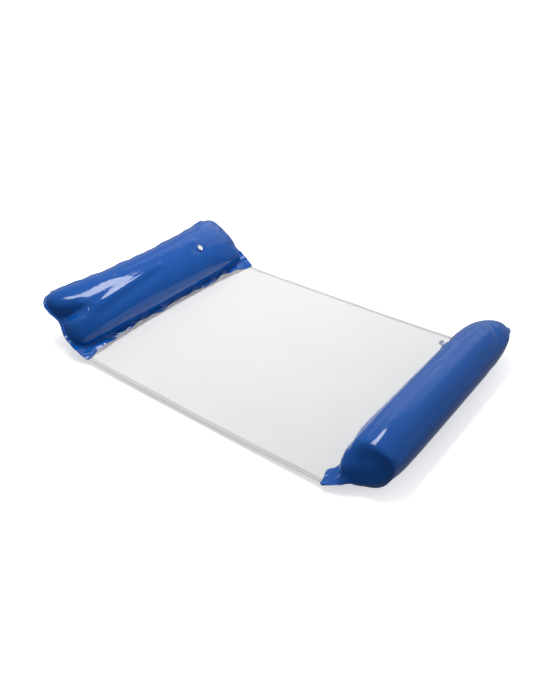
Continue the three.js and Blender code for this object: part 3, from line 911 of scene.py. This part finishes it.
def valve_cap(name, valve, top):
    """The plug cap: a dished disc with a ribbed plug under it, and the tab that its tether turns on."""
    under = top + VALVE_CLEARANCE
    over = under + CAP_THICKNESS
    tip = under - PLUG_LENGTH
    plug = turned(name, valve, [
        (0, tip), (PLUG_TIP_R, tip), (PLUG_R, tip + 0.45 * PLUG_LENGTH),
        (PLUG_R - 0.3 * MM, tip + 0.6 * PLUG_LENGTH), (PLUG_R, under), (CAP_R - 0.4 * MM, under),
        (CAP_R, under + 0.5 * MM), (CAP_R, over - 0.5 * MM), (CAP_R - 0.7 * MM, over),
        (CAP_R - 1.6 * MM, over), (CAP_R - 2.3 * MM, over - 0.5 * MM), (0, over - 0.6 * MM),
    ])
    low, high = under + TETHER_THICKNESS, over - TETHER_THICKNESS
    start, end = CAP_R - 1 * MM, HINGE_REACH - TETHER_THICKNESS
    lift, far = 0.5 * MM, -CAP_R - 2.2 * MM
    tab = [(start, low), (end, low), (end, high), (start, high)]
    thumb = [(-start, low), (far, low + lift), (far, high + lift), (-start, high)]
    return joined([
        plug,
        strip(f"{name}_tab", valve, tab, TETHER_WIDTH),
        strip(f"{name}_thumb", valve, thumb, 1.2 * TETHER_WIDTH),
    ])


def valve_tether(name, valve, top):
    """The strap on the stem's rim that turns up to the cap's tab."""
    inner, outer = STEM_R + 0.55 * MM, HINGE_REACH + TETHER_THICKNESS / 2
    low, high = top - TETHER_THICKNESS, top + TETHER_THICKNESS
    face, middle = outer - TETHER_THICKNESS, top - 0.05 * MM
    return strip(name, valve, [
        (inner, low), (outer, low), (outer, high), (face, high), (face, middle), (inner, middle),
    ], TETHER_WIDTH)


def valve_flap(name, valve, top):
    high = top - STEM_LENGTH - VALVE_CLEARANCE
    low = high - FLAP_THICKNESS
    return turned(name, valve, [(0, low), (FLAP_R, low), (FLAP_R, high), (0, high)])


def make_valve(chamber, film_material, valve_material_painted_highlight):
    body = chamber["name"]
    valve = valve_frame(chamber)
    top = STEM_TOP + chamber["valve_out"]
    base = finish_piece(valve_base(f"{body}_valve_base_welded", valve), film_material,
                        [f"{body}_valve_base"])
    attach(base, body)
    makers = {"stem": valve_stem, "cap": valve_cap, "flap": valve_flap, "tether": valve_tether}
    for part, make in makers.items():
        piece = make(f"{body}_valve_{part}_moulded", valve, top)
        finish_piece(piece, valve_material_painted_highlight, [f"{body}_valve_{part}"])
        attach(piece, f"{body}_{'stem' if part == 'tether' else part}")


# ---- Materials ----

WAVE_TURNS = 20  # radians to a metre of a wave texture with a scale of 1


def new_material(name):
    material = bpy.data.materials.new(name)
    material.use_nodes = True
    tree = material.node_tree
    return material, tree, tree.nodes["Principled BSDF"]


def set_inputs(tree, shader, inputs):
    """Gives each named socket a value, or links it to another node's output."""
    for key, value in inputs.items():
        if isinstance(value, bpy.types.NodeSocket):
            tree.links.new(value, shader.inputs[key])
        else:
            shader.inputs[key].default_value = value


def node(tree, kind, inputs=None, **settings):
    made = tree.nodes.new(kind)
    apply_settings(made, settings)
    set_inputs(tree, made, inputs or {})
    return made


def noise(tree, scale, detail):
    place = node(tree, "ShaderNodeTexCoord").outputs["Object"]
    inputs = {"Vector": place, "Scale": scale, "Detail": detail}
    return node(tree, "ShaderNodeTexNoise", inputs).outputs["Fac"]


def mapped(tree, value, start, end=(0, 1)):
    """The value taken from one range to another, and kept inside it."""
    ranges = {"From Min": start[0], "From Max": start[1], "To Min": end[0], "To Max": end[1]}
    return node(tree, "ShaderNodeMapRange", {"Value": value, **ranges}).outputs["Result"]


def mixed_colour(tree, factor, first, second):
    colour = node(tree, "ShaderNodeMix", data_type="RGBA")
    set_inputs(tree, colour, {0: factor, 6: (*first, 1), 7: (*second, 1)})
    return colour.outputs[2]


def bumped(tree, height, strength, distance):
    bump = {"Height": height, "Strength": strength, "Distance": distance}
    return node(tree, "ShaderNodeBump", bump).outputs["Normal"]


def pvc_film():
    """Glossy soft film: even colour, a faint rolled texture, and a roughness that varies in patches."""
    material, tree, shader = new_material("blue_pvc_film")
    patches = noise(tree, 9.0, 2.0)
    set_inputs(tree, shader, {
        "Base Color": mixed_colour(tree, patches, (0.003, 0.082, 0.375), (0.004, 0.095, 0.420)),
        "Roughness": mapped(tree, noise(tree, 22.0, 4.0), (0.3, 0.7), (0.06, 0.13)),
        "IOR": 1.46,
        "Normal": bumped(tree, noise(tree, 60.0, 3.0), 0.15, 0.0006),
    })
    return material


def woven(name, first, second, turns, roughness, bump):
    """Plain weave under faint patches of colour. Its threads' waves turn so many radians to a metre."""
    material, tree, shader = new_material(name)
    place = node(tree, "ShaderNodeTexCoord").outputs["Object"]
    scale = turns / WAVE_TURNS
    warp = node(tree, "ShaderNodeTexWave", {"Vector": place, "Scale": scale}, bands_direction="X")
    weft = node(tree, "ShaderNodeTexWave", {"Vector": place, "Scale": scale}, bands_direction="Y")
    crossed = {0: warp.outputs["Fac"], 1: weft.outputs["Fac"]}
    weave = node(tree, "ShaderNodeMath", crossed, operation="MULTIPLY")
    set_inputs(tree, shader, {
        "Base Color": mixed_colour(tree, noise(tree, 6.0, 3.0), first, second),
        "Roughness": roughness,
        "Sheen Weight": 0.1,
        "Normal": bumped(tree, weave.outputs[0], bump, 0.0002),
    })
    return material


def valve_pvc_painted_highlight():
    """Milky moulded PVC, nearly opaque white: partly the valves' own milky tone and partly a painted
    highlight.
    """
    material, tree, shader = new_material("clear_valve_pvc")
    cloud = noise(tree, 180.0, 3.0)
    set_inputs(tree, shader, {
        # near-white and barely clear, so that the cap shows as a white spot: painted highlight
        "Base Color": mixed_colour(tree, cloud, (0.97, 0.98, 0.98), (1.0, 1.0, 1.0)),
        "Roughness": 0.16,
        "IOR": 1.5,
        "Transmission Weight": 0.04,
        "Normal": bumped(tree, cloud, 0.1, 0.0002),
    })
    return material


# ---- Stage ----

FLOOR_REACH = 30.0
SWEEP = (0.40, 0.80)  # the floor's painted glow brightens it to plain white between these distances
SWEEP_GLOW = (0.42, 0.82)


def make_floor():
    """A white studio floor that glows more the further out: painted light in place of a sweep's own
    lights, which also lightens the shadows round the float.
    """
    material, tree, shader = new_material("pale_floor")
    place = node(tree, "ShaderNodeTexCoord").outputs["Object"]
    distance = node(tree, "ShaderNodeVectorMath", {0: place}, operation="LENGTH").outputs["Value"]
    set_inputs(tree, shader, {
        "Base Color": (0.90, 0.90, 0.90, 1), "Roughness": 0.9, "Specular IOR Level": 0.0,
        "Emission Color": (1, 1, 1, 1), "Emission Strength": mapped(tree, distance, SWEEP, SWEEP_GLOW)})
    corners = [(x * FLOOR_REACH, y * FLOOR_REACH, 0) for x, y in ((-1, -1), (1, -1), (1, 1), (-1, 1))]
    floor = make_object("floor", corners, [(0, 1, 2, 3)])
    floor.data.materials.append(material)
    # the world's under side lights the float instead
    floor.visible_diffuse = floor.visible_glossy = False


def area_light(name, place, target, size, radiance):
    """A softbox; its radiance is its brightness in a reflection."""
    data = bpy.data.lights.new(name, "AREA")
    data.shape = "RECTANGLE"
    data.size, data.size_y = size
    data.energy = radiance * math.pi * size[0] * size[1]
    light = bpy.data.objects.new(name, data)
    bpy.context.scene.collection.objects.link(light)
    light.location = place
    light.rotation_euler = (Vector(target) - Vector(place)).to_track_quat("-Z", "Y").to_euler()
    return light


FLOOR_BOUNCE = 0.24  # the world's strength straight below
BRIGHT_SIDE = (-0.35, 0.60, 0.72)  # where the studio is bright; its dark side is behind the camera
STUDIO_STRENGTH = (0.10, 0.52)  # on its dark side and on its bright side


def make_lights():
    area_light("overhead_softbox", (-0.45, 0.30, 2.2), (-0.45, 0.3001, 0.0), (0.62, 1.9), 10.6)
    area_light("far_softbox", (-0.8, 3.0, 2.0), (0.0, 0.0, 0.1), (3.5, 2.2), 0.5)
    fill = area_light("side_fill", (2.4, 1.0, 0.5), (0.5, 0.0, 0.08), (1.6, 0.9), 1.7)
    fill.visible_glossy = False
    world = bpy.data.worlds.new("studio")
    bpy.context.scene.world = world
    world.use_nodes = True
    tree = world.node_tree
    direction = node(tree, "ShaderNodeTexCoord").outputs["Generated"]
    towards = node(
        tree, "ShaderNodeVectorMath", {0: direction, 1: BRIGHT_SIDE}, operation="DOT_PRODUCT")
    strength = mapped(tree, towards.outputs["Value"], (-0.5, 1.0), STUDIO_STRENGTH)
    height = node(tree, "ShaderNodeSeparateXYZ", {"Vector": direction}).outputs["Z"]
    above = mapped(tree, height, (-0.8, 0.0))
    both = node(tree, "ShaderNodeMix", {0: above, 2: FLOOR_BOUNCE, 3: strength})
    set_inputs(tree, tree.nodes["Background"], {"Strength": both.outputs[0], "Color": (1, 1, 1, 1)})


CAMERA_PLACE = (0.9285, -1.2163, 1.0403)  # from the middle of the panel, and from the floor
CAMERA_TURN = (-38.25, 33.83, -0.63)  # yaw, pitch and roll in degrees
CAMERA_LENS = 34.28


def make_camera():
    yaw, pitch, roll = (math.radians(angle) for angle in CAMERA_TURN)
    data = bpy.data.cameras.new("camera")
    data.lens = CAMERA_LENS
    data.sensor_width = 36.0
    camera = bpy.data.objects.new("camera", data)
    place = Matrix.Translation(from_middle(CAMERA_PLACE))
    level, down = Matrix.Rotation(-yaw, 4, "Z"), Matrix.Rotation(math.pi / 2 - pitch, 4, "X")
    camera.matrix_world = place @ level @ down @ Matrix.Rotation(roll, 4, "Z")
    bpy.context.scene.collection.objects.link(camera)
    bpy.context.scene.camera = camera


# ---- The whole float ----

make_camera()
make_floor()
make_lights()
bpy.context.scene.view_settings.view_transform = "Standard"
pvc = pvc_film()
clear = valve_pvc_painted_highlight()
net = woven("grey_open_mesh", (0.11, 0.105, 0.09), (0.26, 0.25, 0.21), 3000, 0.7, 0.3)
for chamber in (HEADREST, FOOTREST):
    weld_line, weld_places = make_chamber(chamber, pvc)
    make_mesh_strip(chamber, weld_line, weld_places, net)
    make_valve(chamber, pvc, clear)
fabric = woven("white_panel_fabric", (0.79, 0.785, 0.77), (0.83, 0.83, 0.82), 1400, 0.8, 0.25)
# the hem binding's grey is partly its own tone and partly painted shade along the panel's edges
binding = woven("hem_binding", (0.60, 0.60, 0.59), (0.66, 0.66, 0.65), 1800, 0.8, 0.35)
thread = woven("sewing_thread", (0.82, 0.82, 0.81), (0.88, 0.88, 0.87), 4000, 0.6, 0.4)
make_panel(fabric, binding, thread)
